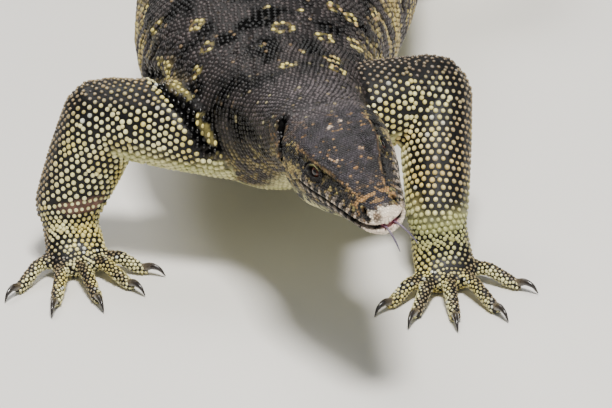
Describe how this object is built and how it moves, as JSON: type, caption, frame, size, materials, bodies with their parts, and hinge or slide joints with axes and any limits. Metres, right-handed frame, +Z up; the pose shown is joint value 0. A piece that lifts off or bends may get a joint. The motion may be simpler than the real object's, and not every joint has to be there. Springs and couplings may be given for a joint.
{
  "type": "water monitor lizard model",
  "caption": "Life-size still model of a standing water monitor lizard with its forked tongue out and its long tail laid on the floor.",
  "frame": {"origin": "on the floor under the middle of the animal's box", "axes": "+Z up, +Y from the head towards the tail, +X towards the animal's left"},
  "size_m": [0.4274, 1.3952, 0.1323],
  "materials": {
    "skin": "satin scales, near black with cream and yellow markings",
    "claw": "dark horn",
    "eye": "wet, dark reddish brown iris and black pupil",
    "tongue": "moist, bluish violet"
  },
  "bodies": {
    "root": {"claw_left_fore_1": "claw", "claw_left_fore_2": "claw", "claw_left_fore_3": "claw", "claw_left_fore_4": "claw", "claw_left_fore_5": "claw", "claw_left_hind_1": "claw", "claw_left_hind_2": "claw", "claw_left_hind_3": "claw", "claw_left_hind_4": "claw", "claw_left_hind_5": "claw", "claw_right_fore_1": "claw", "claw_right_fore_2": "claw", "claw_right_fore_3": "claw", "claw_right_fore_4": "claw", "claw_right_fore_5": "claw", "claw_right_hind_1": "claw", "claw_right_hind_2": "claw", "claw_right_hind_3": "claw", "claw_right_hind_4": "claw", "claw_right_hind_5": "claw", "eye_left": "eye", "eye_right": "eye", "foot_left_hind": "skin", "foot_right_hind": "skin", "forearm_left_fore": "skin", "forearm_right_fore": "skin", "hand_left_fore": "skin", "hand_right_fore": "skin", "head": "skin", "hips": "skin", "lower_jaw": "skin", "neck": "skin", "shin_left_hind": "skin", "shin_right_hind": "skin", "shoulders": "skin", "tail_1": "skin", "tail_2": "skin", "tail_3": "skin", "tail_4": "skin", "tail_root": "skin", "thigh_left_hind": "skin", "thigh_right_hind": "skin", "tongue": "tongue", "trunk_front": "skin", "trunk_rear": "skin", "upper_arm_left_fore": "skin", "upper_arm_right_fore": "skin"}
  },
  "joints": []
}
